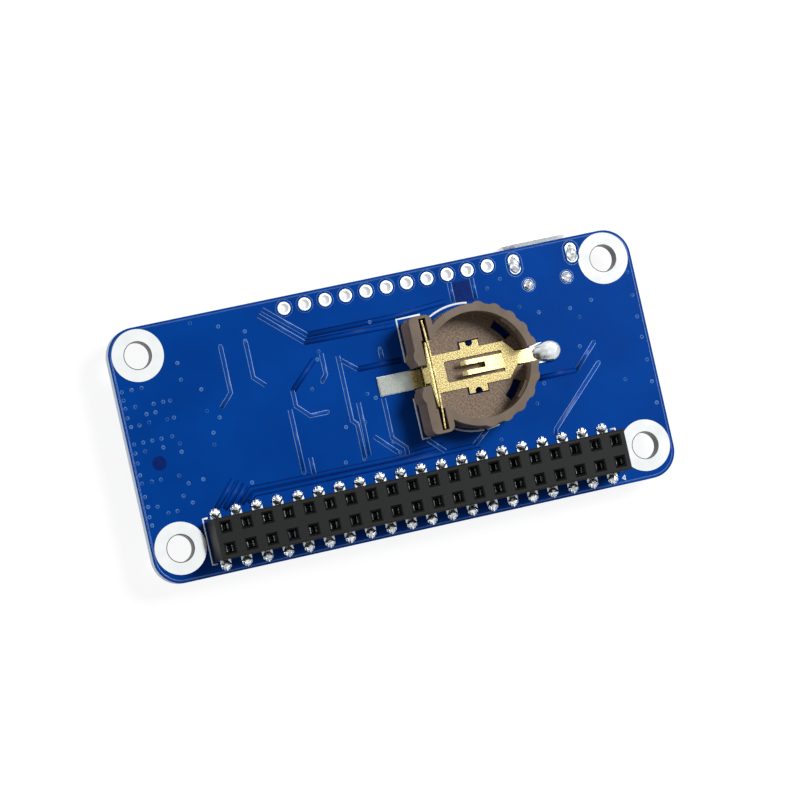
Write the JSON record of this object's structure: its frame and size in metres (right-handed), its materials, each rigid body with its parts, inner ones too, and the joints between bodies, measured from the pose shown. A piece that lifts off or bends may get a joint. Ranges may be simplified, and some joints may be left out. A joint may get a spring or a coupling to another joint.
{
  "type": "satellite positioning receiver board",
  "caption": "Rectangular add-on circuit board with a satellite positioning receiver, a long pin socket, an empty coin-cell holder and a small data port.",
  "frame": {"origin": "middle of the four mounting holes, on the face that carries the pin socket", "axes": "+X along the board's long side, +Y from the pin socket towards the data port, +Z out of the socket side; the part lies on its component side"},
  "size_m": [0.065, 0.0309, 0.0089],
  "materials": {
    "board_mask": "blue solder mask over glass laminate",
    "tin": "tinned copper",
    "solder": "bright reflowed solder",
    "socket_black": "black glass-filled moulding",
    "contact_gold": "gold-flashed stamped metal",
    "holder_brown": "brown-grey moulding",
    "cell_contact_gold": "gold-plated spring sheet",
    "shell_steel": "nickel-plated stamped shell",
    "insulator_black": "black moulding",
    "receiver_laminate": "green solder mask",
    "can_steel": "tinned drawn can",
    "jack_ivory": "ivory moulding",
    "chip_black": "moulded chip package",
    "resistor_black": "black glaze",
    "capacitor_tan": "fired ceramic",
    "lamp_white": "white foot board",
    "lamp_clear": "clear resin"
  },
  "bodies": {
    "root": {"circuit_board": "board_mask", "mounting_rings": "tin", "open_hole_plating": "tin", "upper_lands": "tin", "socket_housing": "socket_black", "socket_contacts_inner": "contact_gold", "socket_contacts_outer": "contact_gold", "socket_solder": "solder", "cell_holder": "holder_brown", "cell_side_contact": "cell_contact_gold", "cell_floor_contact": "cell_contact_gold", "cell_contact_solder": "solder", "data_port_shell": "shell_steel", "data_port_insulator": "insulator_black", "data_port_contacts": "contact_gold", "data_port_solder": "solder", "receiver_board": "receiver_laminate", "receiver_can": "can_steel", "receiver_solder": "solder", "antenna_jack_base": "jack_ivory", "antenna_jack_shell": "contact_gold", "antenna_jack_pin": "contact_gold", "bridge_chip": "chip_black", "bridge_chip_terminals": "tin", "regulator_body": "chip_black", "regulator_leads": "tin", "resistor_bodies": "resistor_black", "resistor_ends": "tin", "capacitor_bodies": "capacitor_tan", "capacitor_ends": "tin", "status_lamp_feet": "lamp_white", "status_lamp_lenses": "lamp_clear", "status_lamp_ends": "contact_gold", "lower_lands": "tin"}
  },
  "joints": []
}
